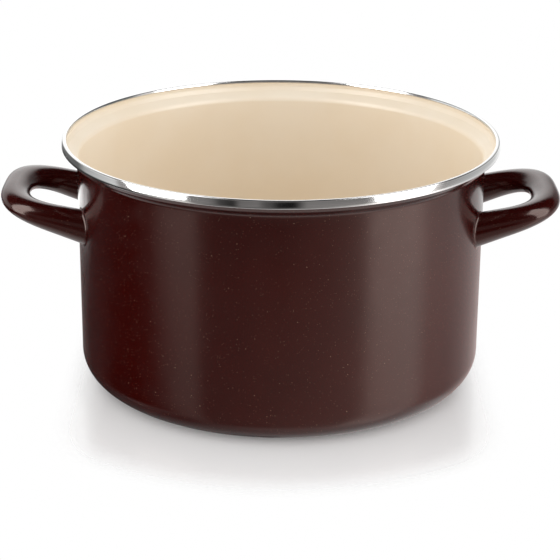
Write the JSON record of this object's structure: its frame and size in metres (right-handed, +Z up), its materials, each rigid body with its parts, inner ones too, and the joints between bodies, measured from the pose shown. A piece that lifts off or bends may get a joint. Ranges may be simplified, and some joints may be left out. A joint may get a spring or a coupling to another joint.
{
  "type": "enamel pot",
  "caption": "Round enamelled steel stock pot, brown outside and cream inside, with a stepped stainless-banded rim and hollow loop handles welded to its sides; open top, no lid.",
  "frame": {"origin": "centre of the flat standing face, on the pot's axis", "axes": "+Z up along the pot's axis, X through both handles, Y across them"},
  "size_m": [0.3288, 0.257, 0.1465],
  "materials": {
    "steel_core": "bare sheet steel, hidden under enamel",
    "brown_enamel": "glossy dark brown vitreous enamel with fine pale specks",
    "cream_enamel": "glossy cream vitreous enamel",
    "stainless_band": "polished stainless steel"
  },
  "bodies": {
    "root": {"pot_shell": "steel_core", "wall_enamel": "brown_enamel", "base_enamel": "brown_enamel", "inner_enamel": "cream_enamel", "rim_band": "stainless_band", "right_handle_tube": "steel_core", "right_handle_enamel": "brown_enamel", "right_rear_weld": "brown_enamel", "right_front_weld": "brown_enamel", "left_handle_tube": "steel_core", "left_handle_enamel": "brown_enamel", "left_front_weld": "brown_enamel", "left_rear_weld": "brown_enamel"}
  },
  "joints": []
}
